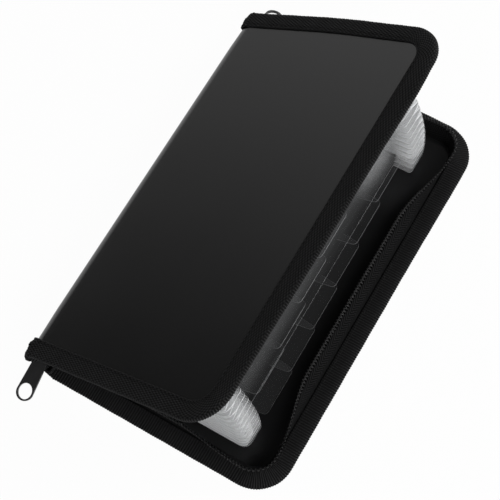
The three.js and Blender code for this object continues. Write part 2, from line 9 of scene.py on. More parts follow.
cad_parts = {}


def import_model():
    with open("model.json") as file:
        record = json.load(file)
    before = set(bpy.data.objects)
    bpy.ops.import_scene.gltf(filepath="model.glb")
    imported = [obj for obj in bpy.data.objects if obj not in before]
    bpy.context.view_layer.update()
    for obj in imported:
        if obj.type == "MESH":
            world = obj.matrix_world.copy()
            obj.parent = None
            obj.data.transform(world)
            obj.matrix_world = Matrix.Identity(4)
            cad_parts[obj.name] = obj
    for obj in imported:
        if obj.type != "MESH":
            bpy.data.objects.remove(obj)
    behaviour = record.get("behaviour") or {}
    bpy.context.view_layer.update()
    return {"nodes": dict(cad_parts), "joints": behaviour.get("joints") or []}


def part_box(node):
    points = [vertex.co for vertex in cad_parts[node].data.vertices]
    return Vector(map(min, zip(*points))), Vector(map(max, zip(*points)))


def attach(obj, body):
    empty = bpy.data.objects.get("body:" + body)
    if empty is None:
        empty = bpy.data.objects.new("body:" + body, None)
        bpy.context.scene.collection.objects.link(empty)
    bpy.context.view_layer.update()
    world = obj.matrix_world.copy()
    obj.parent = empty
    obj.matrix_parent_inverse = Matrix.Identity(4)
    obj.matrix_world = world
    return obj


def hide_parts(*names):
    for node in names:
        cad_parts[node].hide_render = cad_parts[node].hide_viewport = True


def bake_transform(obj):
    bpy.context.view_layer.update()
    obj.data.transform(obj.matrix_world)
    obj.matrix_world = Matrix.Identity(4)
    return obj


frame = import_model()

# Sizes of the part, in millimetres
LENGTH = 190.0
WIDTH = 112.6
THICK = 25.0
CORNER = 16.5
PANEL = 0.9
BEND = 3.2
LIP = 8.0
NOTCH = 15.0
FIT = 0.1
EDGING_THICKNESS = 0.7
EDGING_OUTER = 8.0
EDGING_INNER = 7.7
EDGING_ROUND = 1.3
TAPE = 0.6
ZIP_INSET = 8.0
ZIP_SPLIT = 1.0
ZIP_START = 1.2
ZIP_WALL_START = 6.4
ZIP_TAIL = 3.4
LEAN_START = 62.0
FORE_EASE = 0.25
BACK_LEAN = {"end": -3.5, "corner": -2.2, "fore": 5.5}
FRONT_LEAN = {"end": 1.0, "corner": 3.2, "fore": 4.2}
DIVIDERS = 12
COLUMNS = 6
FAN_SHARE = 0.0577
SHEET = 0.4
SHEET_ROOT = 5.2
SHEET_LENGTH = 161.4
SHEET_REACH = 92.6
EAR_LOW = 12.7
EAR_HIGH = 15.2
EAR_CORNER = 4.5
TAB_HEIGHT = 9.0
TAB_OVERLAP = 3.0
TAB_SLANT = 1.1
TAB_CORNER = 2.0
TAB_ROW_LOW_GAP = 3.4
TAB_ROW_HIGH_GAP = 11.0
FOLD_THICKNESS = 0.25
FOLD_WIDTH = 11.0
FOLD_FIT = 0.15
CREASE_SHARE = 0.35

# Finer sizes of the covers and the spine
BEND_REACH = 5.5
NOTCH_ROUND = 0.6
NOTCH_ROUND_START = 0.45
SPINE_BOW = 0.5
SPINE_BOW_FADE = (24.0, 9.0)
SPINE_OUT = 0.8
SPINE_OUT_FADE = (2.0, 14.0)
END_DRAW = 2.2
END_DRAW_POWER = 1.4
END_DRAW_REACH = 40.0
END_TAPER = 62.0
END_BELLY = 0.35
END_BELLY_WIDTH = 30.0

# Finer sizes of the woven edging: its section, weave, wrinkles, sewn grooves and bunched corners
CUT_ROUND = 0.25
CUT_CHAMFER = 0.1
FOLD_BULGE = 0.3
FOLD_BULGE_DEPTH = 3.0
FOLD_LINE = 8.8
OUTER_FACE = 0.3
EDGE_FADE = 0.8
RIB_PITCH = 1.15
RIB_HEIGHT = 0.12
WEAVE_PITCH = 2.3
WEAVE_ROW = 1.2
WEAVE_HEIGHT = 0.13
WEAVE_SPAN = 8.9
WRINKLE_HEIGHT = 0.05
WRINKLE_LONG = 37.0
WRINKLE_SHORT = 13.7
WRINKLE_SLANT = 0.4
GROOVE_OUTER = 0.16
GROOVE_OUTER_WIDTH = 0.45
GROOVE_INNER = 0.14
GROOVE_INNER_WIDTH = 0.4
BUNCH_HEIGHT = 0.14
BUNCH_PERIOD = 3.7
BUNCH_DEPTH = 8.0
REST_FADE = 0.6

# Its gathered end at the spine: nubs as (height, place, length, depth, width), and the doubled tape
END_LIP = 3.2
NUBS = ((0.9, 0.9, 0.8, 2.2, 1.8), (0.8, 3.7, 0.9, 4.6, 1.6))
HIGH_NUBS = 0.5
DOUBLED_HEIGHT = 0.3
DOUBLED_END = 6.6
DOUBLED_FADE = 0.7
DOUBLED_DEPTH = 4.0
RIDGE_HEIGHT = 0.24
RIDGE_PLACE = 5.2
RIDGE_LENGTH = 0.7
RIDGE_WAVE = 0.55
GATHER_LENGTH = 7.0
GATHER_POWER = 1.5
GATHER_DEPTH = 5.0
BACK_GATHER = -0.6
FRONT_GATHER = 1.7

# Its fuller corner at +Y and its bow along the fore edge
BACK_BULGE = 0.4
FRONT_BULGE = 0.9
SWELL_CORNER = (0.2, 0.9)
SWELL_FORE = (5.0, 60.0)
SWELL_DEPTH = 6.0
FORE_BOW = 0.75
BOW_RISE = (0.05, 0.45)
BOW_FALL = (0.9, 1.0)

# Finer sizes of the stitches, the zip and the pocket insert
STITCH_PITCH = 3.0
STITCH_LENGTH = 2.5
STITCH_RADIUS = 0.17
STITCH_OUTER = 6.7
STITCH_INNER = 6.4
STITCH_SUNK = 0.05
STITCH_TIP = 0.06
STITCH_TWIST = 6.0
TAPE_ROUND = 0.15
TAPE_FOOT = 0.6
TAPE_HEEL = 0.5
TAPE_HEEL_ROUND = 0.12
TAPE_TOE = 0.3
SWAY = 0.09
SWAY_SHORT = 11.3
SWAY_LONG = 31.0
SWAY_PHASE = 1.0
SWAY_RISE = 6.0
TAIL_LAP = 0.02
COIL_PITCH = 1.5
COIL_HEIGHT = 1.6
COIL_WIDTH = 1.3
COIL_WIRE = 0.27
COIL_END = 0.5
COIL_FLAT = 0.7
COIL_CROWN = 0.9
POCKET_BASE = 0.5
POCKET_BASE_INSET = 0.3
FOLD_WALL_LIMIT = 0.3
FOLD_CORNER_DEGREES = 50.0
FOLD_CORNER_DRAW = 0.85

# Numbers of rows, columns and sides in the meshes
LIP_ROWS = 3
NOTCH_ROWS = 4
BEND_ROWS = 17
FLAT_ROWS = 26
CORNER_ROWS = 19
PANEL_COLUMNS = 49
SPINE_ROWS = 25
SPINE_COLUMNS = 33
FACE_COLUMNS = 30
ROUND_COLUMNS = 7
INSIDE_COLUMNS = 8
RIB_STEPS = 4
STITCH_RINGS = 5
TAPE_ROWS = 11
TAIL_ROWS = 8
COIL_STEPS = 14
WIRE_SIDES = 6
FOLD_ROWS = 15
FOLD_CORNER_ROWS = 5
BASE_ROWS = 9

# Lengths of steps in the meshes and their maps
TAPE_STEP = 0.7
HIDDEN_STEP = 4.0

# Painted sheen and painted shade along the woven edging's fold, painted shade on its inner face, painted
# highlights on the rib crests over its fold, and haze of the clear sheets in metres from the middle or below
# the tips
END_FOLD_SHEEN = 0.25
FRONT_FORE_FOLD_SHADE = -0.15
INNER_SHADE = 0.45
FOLD_HIGHLIGHT_POWER = 2.4
HAZE_START = 0.036
HAZE_FULL = 0.07
STRIP_BOTTOM = 0.0155
STRIP_TOP = 0.0105
HAZE_COLOUR = (0.85, 0.86, 0.87)

# Light and camera: lamps as (name, place, target, size, power)
LAMPS = (
    ("key_softbox", (0.75, -0.6, 0.95), (0.02, 0, 0.03), (0.7, 0.7), 7.0),
    ("fore_softbox", (1.2, -0.1, 0.4), (0.03, 0, 0.03), (0.8, 0.5), 3.2),
    ("far_softbox", (0.7, 0.9, 0.6), (0.04, 0.06, 0.03), (0.7, 0.5), 7.5),
)
GLOW_DIRECTION = (-0.55, 0.80, 0.22)
GLOW_COSINES = (0.67, 0.905)
GLOW_LEVEL = 1.05
TOP_HEIGHTS = (0.5, 0.95)
TOP_LEVELS = (0.03, 0.21)
FLOOR_HALF = 4.0
FLOOR_GREY = 0.9
FLOOR_WHITE = 0.97
CAMERA_SENSOR = 36.0
CAMERA_LENS = 96.824
CAMERA_NEAR = 0.01
CAMERA_RIGHT = (0.86019, 0.50542, -0.06800)
CAMERA_DOWN = (0.44904, -0.81385, -0.36878)
CAMERA_FORWARD = (-0.24172, 0.28669, -0.92703)
CAMERA_PLACE = (192.74, -174.16, 558.28)
CLEAR_BOUNCES = 48

# Sizes that follow from these
HALF = LENGTH / 2
MID = THICK / 2
HINGE_X = PANEL / 2
EDGE_ALLOWANCE = EDGING_THICKNESS + FIT
TAPE_BASE = PANEL + FIT
EDGING_INNER_FACE = TAPE_BASE + TAPE + FIT
TEETH_TOP = MID - ZIP_SPLIT
TAPE_TOP = TEETH_TOP - COIL_HEIGHT - FIT
SHEET_START = PANEL + FIT
SHEET_PITCH = (THICK - 2 * SHEET_START - SHEET) / (DIVIDERS + 1)
TAB_ROW = SHEET_LENGTH - EAR_LOW - EAR_HIGH - TAB_ROW_LOW_GAP - TAB_ROW_HIGH_GAP
TAB_PITCH = TAB_ROW / COLUMNS
HINGE = next(j for j in frame["joints"] if j["name"] == "cover_hinge")
OPEN = math.radians(-HINGE["range_deg"][0])
COVER_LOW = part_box("back_cover")[0]
SHIFT = np.array([COVER_LOW.x * 1000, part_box("back_binding")[0].y * 1000 + HALF, COVER_LOW.z * 1000])
SCENE = bpy.context.scene


# Curves

def unit(value):
    return np.clip(value, 0, 1)


def smooth(value, low, high):
    t = unit((value - low) / (high - low))
    return t * t * (3 - 2 * t)


def bell(x, centre, width):
    return np.exp(-((x - centre) / width) ** 2)


def ripple(distance, period, phase=0.0):
    return np.sin(2 * np.pi * distance / period + phase)


def lengths(points):
    """Distance of each point along its line from the first one."""
    return np.concatenate([[0], np.cumsum(np.linalg.norm(np.diff(points, axis=0), axis=1))])


def circle():
    return np.linspace(0, 2 * np.pi, WIRE_SIDES + 1)[:-1]


# Placing and making meshes

def turned(points, angle):
    """Points in the closed design turned about the middle of the spine."""
    p = np.array(points, float)
    dx, dz = p[..., 0] - HINGE_X, p[..., 2] - MID
    c, s = math.cos(angle), math.sin(angle)
    p[..., 0] = HINGE_X + dx * c - dz * s
    p[..., 2] = MID + dx * s + dz * c
    return p


def as_front(points):
    """A piece of the back half as its mirror image on the open front half."""
    p = np.array(points, float)
    p[..., 2] = THICK - p[..., 2]
    return turned(p, OPEN)


def same(points):
    return np.array(points, float)


def to_row(points):
    """Design points in millimetres as points of the shared frame in metres."""
    return (np.asarray(points, float).reshape(-1, 3) + SHIFT) / 1000


def make(name, points, faces, materials, uv=None, face_materials=None, sharp=40.0):
    """A mesh object from design points in millimetres, with its faces turned outwards."""
    mesh = bpy.data.meshes.new(name)
    mesh.from_pydata(to_row(points).tolist(), [], [list(map(int, f)) for f in faces])
    for material in materials:
        mesh.materials.append(material)
    if face_materials is not None:
        mesh.polygons.foreach_set("material_index", np.asarray(face_materials, np.int32))
    if uv is not None:
        layer = mesh.uv_layers.new(name="UVMap")
        corners = np.zeros(len(mesh.loops), np.int32)
        mesh.loops.foreach_get("vertex_index", corners)
        layer.data.foreach_set("uv", np.asarray(uv, np.float32).reshape(-1, 2)[corners].ravel())
    work = bmesh.new()
    work.from_mesh(mesh)
    bmesh.ops.recalc_face_normals(work, faces=work.faces)
    work.to_mesh(mesh)
    work.free()
    mesh.shade_smooth()
    mesh.set_sharp_from_angle(angle=math.radians(sharp))
    obj = bpy.data.objects.new(name, mesh)
    SCENE.collection.objects.link(obj)
    return obj


def count_of(groups):
    return sum(len(points) for points in groups)


def loft_faces(rings, count, offset=0):
    """Faces of a closed tube of rings, with both ends capped."""
    faces = []
    for r in range(rings - 1):
        a = offset + r * count + np.arange(count)
        b = offset + r * count + (np.arange(count) + 1) % count
        faces.append(np.stack([a, b, b + count, a + count], 1))
    sides = np.concatenate(faces).tolist()
    last = offset + (rings - 1) * count
    return sides + [list(range(offset, offset + count))[::-1], list(range(last, last + count))]


def shell_faces(rows, columns):
    """Faces of a closed sheet from its outer grid followed by its inner grid, and 1 for each inner face."""
    size = rows * columns
    i = np.arange(size).reshape(rows, columns)
    quads = np.stack([i[:-1, :-1], i[1:, :-1], i[1:, 1:], i[:-1, 1:]], -1).reshape(-1, 4)
    rim = np.concatenate([i[0, :], i[1:, -1], i[-1, -2::-1], i[-2:0:-1, 0]])
    after = np.roll(rim, -1)
    sides = np.stack([rim, after, after + size, rim + size], 1)
    faces = np.concatenate([quads, quads[:, ::-1] + size, sides])
    inner = np.repeat([0, 1, 0], [len(quads), len(quads), len(sides)])
    return faces.tolist(), inner


# Cover edge: places along it by distance, from the spine end at -Y round to the spine end at +Y

class Edge:
    def __init__(self, start, around_bend, corner_inset=0.0):
        self.lip = END_LIP if around_bend else 0.0
        self.bend = self.lip + BEND * math.pi / 2 if around_bend else 0.0
        self.start = start
        self.straight = WIDTH - CORNER - start
        self.arc = (CORNER - corner_inset) * math.pi / 2
        self.fore = LENGTH - 2 * CORNER
        self.total = 2 * (self.bend + self.straight + self.arc) + self.fore

    def at(self, distance):
        s = np.asarray(distance, float)
        side = np.where(s <= self.total / 2, -1.0, 1.0)
        along = np.minimum(s, self.total - s)
        zero, one = np.zeros_like(s), np.ones_like(s)
        turn = unit((along - self.lip) / max(self.bend - self.lip, 1e-9)) * math.pi / 2
        on_bend = along < self.bend
        share = unit((along - self.bend - self.straight) / self.arc)
        angle = share * math.pi / 2
        past = unit((along - self.bend - self.straight - self.arc) / self.fore)
        fore = np.where(side < 0, past, 1 - past)
        on_fore = past > 0
        x = self.start + np.clip(along - self.bend, 0, self.straight)
        x = np.where(share > 0, WIDTH - CORNER * (1 - np.sin(angle)), x)
        x = np.where(on_bend, BEND * (1 - np.cos(turn)), x)
        y = side * (HALF - CORNER * (1 - np.cos(angle)))
        y = np.where(on_fore, (HALF - CORNER) * (2 * fore - 1), y)
        bend_z = BEND * (1 - np.sin(turn)) + np.clip(self.lip - along, 0, None)
        z = np.where(on_bend, bend_z, zero)
        inward = np.stack([-np.sin(angle), -side * np.cos(angle), zero], -1)
        through = np.stack([np.where(on_bend, np.cos(turn), zero), zero,
                            np.where(on_bend, np.sin(turn), one)], -1)
        return {
            "edge": np.stack([x, y, z], -1), "inward": inward, "through": through, "along": along,
            "corner": share, "fore": np.where(on_fore, fore, 0.0), "distance": s, "high": side > 0,
        }


def sweep(place, inward, through):
    """Points at distances into and through the panel, one row for each station."""
    return (place["edge"][:, None, :] + place["inward"][:, None, :] * inward[..., None]
            + place["through"][:, None, :] * through[..., None])


def end_draw(x):
    """How far the end at +Y is drawn in towards the spine."""
    x = np.asarray(x)
    drawn = END_DRAW * unit(1 - x / END_TAPER) ** END_DRAW_POWER
    return drawn - END_BELLY * bell(x, 0.5 * WIDTH, END_BELLY_WIDTH)


def spine_out(points):
    """Points with the bend at the spine standing out a little, as a sheet does that doesn't fold sharply."""
    p = np.array(points, float)
    share = unit((LIP - p[..., 2]) / (LIP - BEND)) * (1 - smooth(p[..., 0], *SPINE_OUT_FADE))
    p[..., 0] -= SPINE_OUT * share
    return p


def zip_lean(place, through, amounts):
    """How far the zip leans inwards at each height, as it runs along the ends, corners and fore edge."""
    rise = np.maximum(0, through - EDGING_INNER_FACE) / (TEETH_TOP - EDGING_INNER_FACE)
    end = amounts["end"] * smooth(place["edge"][:, 0], LEAN_START, WIDTH - CORNER)
    edge = end + (amounts["corner"] - end) * place["corner"]
    ease = smooth(np.minimum(place["fore"], 1 - place["fore"]), 0, FORE_EASE)
    return rise ** 2 * (edge + (amounts["fore"] - edge) * ease)[:, None]


# Materials

class Nodes:
    """A cleared node tree, with short ways to add what the looks here need."""

    def __init__(self, tree):
        self.tree = tree
        self.tree.nodes.clear()

    def put(self, node, socket, value):
        if isinstance(value, bpy.types.NodeSocket):
            self.tree.links.new(value, node.inputs[socket])
        else:
            node.inputs[socket].default_value = value

    def add(self, kind, inputs=None, **settings):
        node = self.tree.nodes.new(kind)
        for key, value in settings.items():
            setattr(node, key, value)
        for socket, value in (inputs or {}).items():
            self.put(node, socket, value)
        return node

    def place(self, kind="Object"):
        return self.add("ShaderNodeTexCoord").outputs[kind]

    def axis(self, vector, which):
        return self.add("ShaderNodeSeparateXYZ", {0: vector}).outputs[which]

    def join(self, x, y, z=0.0):
        return self.add("ShaderNodeCombineXYZ", {0: x, 1: y, 2: z}).outputs[0]

    def math(self, operation, a, b=0.0, c=0.0):
        return self.add("ShaderNodeMath", {0: a, 1: b, 2: c}, operation=operation).outputs[0]

    def weigh(self, a, a_share, b, b_share):
        return self.math("ADD", self.math("MULTIPLY", a, a_share), self.math("MULTIPLY", b, b_share))

    def sine(self, value, period):
        return self.math("SINE", self.math("MULTIPLY", value, 2 * math.pi / period))

    def noise(self, vector, scale, detail):
        inputs = {"Vector": vector, "Scale": scale, "Detail": detail}
        return self.add("ShaderNodeTexNoise", inputs).outputs[0]

    def wave(self, vector, period, direction="X"):
        reach = 20.0 if direction != "DIAGONAL" else 10.0
        inputs = {"Vector": vector, "Scale": 2 * math.pi / (reach * period)}
        return self.add("ShaderNodeTexWave", inputs, bands_direction=direction).outputs[1]

    def ramp(self, value, start, end, low=0.0, high=1.0, **settings):
        inputs = {"Value": value, "From Min": start, "From Max": end, "To Min": low, "To Max": high}
        return self.add("ShaderNodeMapRange", inputs, **settings).outputs[0]

    def span(self, value, low, high):
        return self.ramp(value, 0.0, 1.0, low, high)

    def mix(self, share, a, b):
        return self.add("ShaderNodeMix", {"Factor": share, 2: a, 3: b}).outputs[0]

    def tint(self, share, dark, light):
        """A mix of two colours, each given as three numbers or as a socket."""
        pair = {socket: colour if isinstance(colour, bpy.types.NodeSocket) else (*colour, 1)
                for socket, colour in ((6, dark), (7, light))}
        return self.add("ShaderNodeMix", {"Factor": share, **pair}, data_type="RGBA").outputs[2]

    def bump(self, height, distance):
        return self.add("ShaderNodeBump", {"Height": height, "Distance": distance}).outputs[0]


class Look(Nodes):
    """A material with one principled shader."""

    def __init__(self, name):
        self.material = bpy.data.materials.new(name)
        self.material.use_nodes = True
        super().__init__(self.material.node_tree)
        self.shader = self.add("ShaderNodeBsdfPrincipled")
        self.output = self.add("ShaderNodeOutputMaterial", {0: self.shader.outputs[0]})

    def set(self, **inputs):
        for key, value in inputs.items():
            self.put(self.shader, key.replace("_", " "), value)


def grey(value):
    return (value, value, value * 1.03)


def plastic_look(name, dark, light, low, high, shine):
    """Black sheet with clouds and with fine streaks that run along X."""
    look = Look(name)
    place = look.place()
    cloud = look.noise(place, 28.0, 4.0)
    drawn_out = look.join(look.math("MULTIPLY", look.axis(place, 0), 0.12), look.axis(place, 1),
                          look.axis(place, 2))
    streak = look.noise(drawn_out, 900.0, 3.0)
    both = look.weigh(cloud, 0.7, streak, 0.3)
    look.set(Base_Color=look.tint(both, grey(dark), grey(light)), Roughness=look.span(both, low, high),
             Specular_IOR_Level=shine)
    return look.material


def woven_look(name, fore_fold_light):
    """Woven tape: dots on the outer face, ribs over the fold and faint ribs on the inner face. Their relief
    is in the bump, and the colour paints it again:
    paler crests and darker gaps as painted highlight and painted shade, with painted highlights on the rib
    crests over the fold. The fold has a painted sheen along the ends, and a painted sheen on the back or
    painted shade on the front along the fore edge, where the inner face has painted shade too."""
    look = Look(name)
    path = Edge(BEND, True)
    uv = look.place("UV")
    along, across = look.axis(uv, 0), look.axis(uv, 1)
    face = look.math("MAXIMUM", look.math("SUBTRACT", WEAVE_SPAN, across), 0.0)
    dots = look.math("MULTIPLY", look.sine(along, WEAVE_PITCH), look.sine(face, WEAVE_ROW))
    dots = look.math("MULTIPLY_ADD", dots, 0.5, 0.5)
    wave = look.sine(along, RIB_PITCH)
    # painted highlights: the crests of the ribs over the fold painted as narrow pale dashes
    fold_crest_highlight = look.math("POWER", look.math("MULTIPLY_ADD", wave, 0.5, 0.5), FOLD_HIGHLIGHT_POWER)
    inner_rib = look.math("MULTIPLY_ADD", wave, 0.26, 0.56)
    rib = look.mix(look.ramp(across, FOLD_LINE + 2, FOLD_LINE + 3.5), fold_crest_highlight, inner_rib)
    on_face = look.math("MINIMUM", look.math("MULTIPLY", face, 1 / EDGE_FADE), 1.0)
    weave = look.mix(on_face, rib, dots)
    fuzz = look.noise(uv, 3.2, 4.0)
    patch = look.noise(uv, 0.09, 3.0)
    # the weave's crests painted paler and its gaps darker: painted highlight and painted shade over the real
    # relief that the bump gives
    tone = look.math("MULTIPLY", look.math("POWER", weave, 1.5), look.span(fuzz, 0.5, 1.4))
    tone = look.math("MULTIPLY", tone, look.span(patch, 0.8, 1.15))
    from_fold = look.math("MULTIPLY_ADD", across, 0.36, -0.36 * FOLD_LINE)
    from_middle = look.math("ABSOLUTE", look.math("SUBTRACT", along, path.total / 2))
    at_end = look.ramp(from_middle, path.fore / 2 - 8, path.fore / 2 + 4)
    # painted sheen along the fold, and painted shade along the front's fore edge, strongest on the fold line
    # and fading away from it
    wear_and_fold_light = look.math("DIVIDE", look.span(at_end, fore_fold_light, END_FOLD_SHEEN),
                     look.math("MULTIPLY_ADD", from_fold, from_fold, 1.0))
    tone = look.math("MULTIPLY", tone, look.math("ADD", wear_and_fold_light, 0.8))
    inside = look.ramp(across, FOLD_LINE + 1.5, FOLD_LINE + 6)
    shade = look.math("MULTIPLY", inside, look.span(at_end, INNER_SHADE, 0.0))
    tone = look.math("MULTIPLY", tone, look.math("SUBTRACT", 1.0, shade))
    height = look.math("ADD", weave, look.math("MULTIPLY", fuzz, 0.3))
    look.set(Base_Color=look.tint(tone, grey(0.001), grey(0.04)), Roughness=look.span(fuzz, 0.66, 0.88),
             Normal=look.bump(height, 0.00012), Specular_IOR_Level=0.1, Sheen_Weight=0.03,
             Sheen_Roughness=0.5)
    return look.material


def tape_look():
    """Zip tape: herringbone in bands along the tape."""
    look = Look("zip_tape")
    uv = look.place("UV")
    along, across = look.axis(uv, 0), look.axis(uv, 1)
    zigzag = look.math("PINGPONG", across, 2.6)
    bones = look.wave(look.join(look.math("ADD", along, zigzag), 0.0), 1.3)
    fuzz = look.noise(uv, 3.6, 4.0)
    tone = look.math("MULTIPLY", look.math("POWER", bones, 1.5), look.span(fuzz, 0.6, 1.3))
    height = look.math("ADD", bones, look.math("MULTIPLY", fuzz, 0.4))
    look.set(Base_Color=look.tint(tone, grey(0.001), grey(0.017)), Roughness=look.span(fuzz, 0.7, 0.9),
             Normal=look.bump(height, 0.0001), Specular_IOR_Level=0.05)
    return look.material


def nylon_look():
    look = Look("nylon_coil")
    dull = look.noise(look.place(), 900.0, 3.0)
    look.set(Base_Color=look.tint(dull, grey(0.002), grey(0.008)), Roughness=look.span(dull, 0.28, 0.34),
             Normal=look.bump(dull, 0.00002), Specular_IOR_Level=0.42)
    return look.material


def thread_look():
    look = Look("sewing_thread")
    twist = look.wave(look.place("UV"), 0.5, "DIAGONAL")
    look.set(Base_Color=look.tint(twist, grey(0.002), grey(0.012)), Roughness=look.span(twist, 0.6, 0.8),
             Normal=look.bump(twist, 0.00005), Specular_IOR_Level=0.2)
    return look.material


def enamel_look():
    """Black enamel with a fine peel, paler where edges are rubbed."""
    look = Look("black_enamel")
    place = look.place()
    peel = look.noise(place, 1500.0, 2.0)
    cloud = look.noise(place, 260.0, 3.0)
    wear_and_fold_light = look.ramp(look.add("ShaderNodeNewGeometry").outputs["Pointiness"], 0.52, 0.62)
    tone = look.weigh(cloud, 0.6, wear_and_fold_light, 0.4)
    look.set(Base_Color=look.tint(tone, grey(0.013), grey(0.03)), Roughness=look.span(cloud, 0.3, 0.46),
             Normal=look.bump(peel, 0.00002))
    return look.material


def frosted_look(name, colour, thin, thick, low, high, end_haze=0.0):
    """Cloudy sheet: mostly clear, with a haze that varies over it. With an end haze it thickens towards the
    end at +Y and below a clearer strip under the tabs."""
    look = Look(name)
    place = look.place()
    cloud = look.noise(place, 60.0, 4.0)
    frost = look.noise(place, 900.0, 2.0)
    tone = look.weigh(cloud, 0.6, frost, 0.4)
    haze = look.span(tone, thin, thick)
    tint = look.tint(tone, tuple(0.86 * c for c in colour), colour)
    if end_haze:
        near_end = look.ramp(look.axis(place, 1), HAZE_START, HAZE_FULL, interpolation_type="SMOOTHSTEP")
        spine_x, _, spine_z = to_row([[HINGE_X, 0, MID]])[0]
        flat = look.join(look.math("SUBTRACT", look.axis(place, 0), spine_x), 0.0,
                         look.math("SUBTRACT", look.axis(place, 2), spine_z))
        reach = look.add("ShaderNodeVectorMath", {0: flat}, operation="LENGTH").outputs["Value"]
        tip = SHEET_REACH / 1000
        deep = look.ramp(reach, tip - STRIP_BOTTOM, tip - STRIP_TOP, 1.0, 0.0)
        on_tab = look.math("GREATER_THAN", reach, tip - TAB_HEIGHT / 1000)
        amount = look.math("MAXIMUM", on_tab, look.span(deep, 0.3, 1.6))
        haze = look.math("MULTIPLY", haze, amount)
        near_end = look.math("MULTIPLY", near_end, look.span(deep, 0.2, 1.0))
        haze = look.math("MULTIPLY_ADD", near_end, end_haze, haze)
        tint = look.tint(near_end, tint, HAZE_COLOUR)
    look.set(Base_Color=tint, Roughness=look.span(frost, low, high), Alpha=haze,
             Normal=look.bump(frost, 0.00001), Specular_IOR_Level=0.06)
    return look.material


SATIN = plastic_look("satin_black_sheet", 0.0036, 0.006, 0.228, 0.28, 0.5)
GLOSS = plastic_look("gloss_black_sheet", 0.01, 0.013, 0.13, 0.2, 0.3)
BACK_WOVEN = woven_look("back_woven_edging", END_FOLD_SHEEN)
FRONT_WOVEN = woven_look("front_woven_edging", FRONT_FORE_FOLD_SHADE)
ZIPPER_TAPE = tape_look()
NYLON = nylon_look()
THREAD = thread_look()
ENAMEL = enamel_look()
FROST = frosted_look("frosted_sheet", (0.31, 0.315, 0.32), 0.022, 0.032, 0.3, 0.45, 0.21)
FROST_RIM = frosted_look("frosted_rim", (0.21, 0.213, 0.216), 0.8, 0.95, 0.3, 0.45)
FROST_CUT = frosted_look("frosted_cut_edge", (0.26, 0.264, 0.268), 0.012, 0.02, 0.3, 0.45)
FROST_EDGE = frosted_look("frosted_ear_rim", (0.8, 0.81, 0.82), 0.85, 1.0, 0.35, 0.5)
FROST_EAR = frosted_look("frosted_ear", (0.9, 0.91, 0.92), 0.12, 0.2, 0.35, 0.5)
FROST_FOLD = frosted_look("frosted_fold", (0.9, 0.91, 0.92), 0.85, 1.0, 0.35, 0.5)
SHEET_LOOKS = [FROST, FROST_RIM, FROST_EAR, FROST_CUT, FROST_EDGE]
ON_SHEET, ON_RIM, ON_EAR, ON_CUT, ON_EAR_RIM = range(len(SHEET_LOOKS))


# Covers and spine

def panel_rows():
    """Rows of a cover from its lip over the bend to the fore edge: outer and inner point as (x, z), share of
    the spine's bow, and half length."""
    right = WIDTH - EDGE_ALLOWANCE
    half = HALF - EDGE_ALLOWANCE
    radius = CORNER - EDGE_ALLOWANCE
    short = HALF - NOTCH
    rows = []
    for z in np.linspace(LIP, BEND + NOTCH_ROUND, LIP_ROWS):
        rows.append(((0, z), (PANEL, z), (LIP - z) / (LIP - BEND), short))
    for z in np.linspace(BEND + NOTCH_ROUND_START, BEND, NOTCH_ROWS):
        share = unit((BEND + NOTCH_ROUND - z) / NOTCH_ROUND)
        reach = short + (half - HALF + NOTCH) * (1 - math.sqrt(max(0.0, 1 - share ** 2)))
        rows.append(((0, z), (PANEL, z), (LIP - z) / (LIP - BEND), reach))
    for a in np.linspace(0, math.pi / 2, BEND_ROWS)[1:]:
        x, z = BEND_REACH * (1 - math.cos(a)), BEND * (1 - math.sin(a))
        slope = math.hypot(BEND * math.cos(a), BEND_REACH * math.sin(a))
        inner = x + PANEL * BEND * math.cos(a) / slope, z + PANEL * BEND_REACH * math.sin(a) / slope
        rows.append(((x, z), inner, math.cos(a), half))
    corner = np.sin(np.linspace(0, math.pi / 2, CORNER_ROWS)[1:])
    for x in (*np.linspace(BEND_REACH, right - radius, FLAT_ROWS)[1:], *(right - radius + radius * corner)):
        over = max(0.0, x - right + radius)
        reach = half - radius + math.sqrt(max(0.0, radius ** 2 - over ** 2))
        rows.append(((x, 0), (x, PANEL), 0.0, reach))
    return [np.array(column, float) for column in zip(*rows)]


def panel(name, put, body, node):
    outer, inner, bow, reach = panel_rows()
    columns = np.sin(np.linspace(-1, 1, PANEL_COLUMNS) * math.pi / 2)
    bow_start, bow_end = (HALF - distance for distance in SPINE_BOW_FADE)
    grids = []
    for side in (outer, inner):
        y = reach[:, None] * columns[None, :]
        y = y - end_draw(side[:, :1]) * smooth(y, HALF - END_DRAW_REACH, HALF)
        x = side[:, :1] - SPINE_BOW * bow[:, None] * (1 - smooth(np.abs(y), bow_start, bow_end))
        grids.append(np.stack([x, y, np.broadcast_to(side[:, 1:], y.shape)], -1))
    faces, inner_faces = shell_faces(len(reach), len(columns))
    points = put(spine_out(np.concatenate([g.reshape(-1, 3) for g in grids])))
    obj = make(name, points, faces, [SATIN, GLOSS], face_materials=inner_faces)
    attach(obj, body)
    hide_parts(node)


def spine():
    """The strip between the covers, bent evenly about its own centre."""
    radius = (MID - LIP) / math.tan(OPEN / 2)
    centre = (HINGE_X - radius, LIP)
    angles = np.linspace(0, OPEN, SPINE_ROWS)
    y = np.linspace(-1, 1, SPINE_COLUMNS) * (HALF - NOTCH)
    grids = []
    for offset in (-HINGE_X, HINGE_X):
        x = centre[0] + (radius + offset) * np.cos(angles)
        z = centre[1] + (radius + offset) * np.sin(angles)
        grids.append(np.stack(np.broadcast_arrays(x[:, None], y[None, :], z[:, None]), -1))
    faces, inner_faces = shell_faces(len(angles), len(y))
    points = np.concatenate([g.reshape(-1, 3) for g in grids])
    obj = make("spine", points, faces, [SATIN, GLOSS], face_materials=inner_faces)
    start = to_row([[HINGE_X, 0, LIP]])[0]
    end = to_row([[centre[0] + radius * math.cos(OPEN), 0, centre[1] + radius * math.sin(OPEN)]])[0]
    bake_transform(obj)
    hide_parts("spine_strip")


# Woven edging

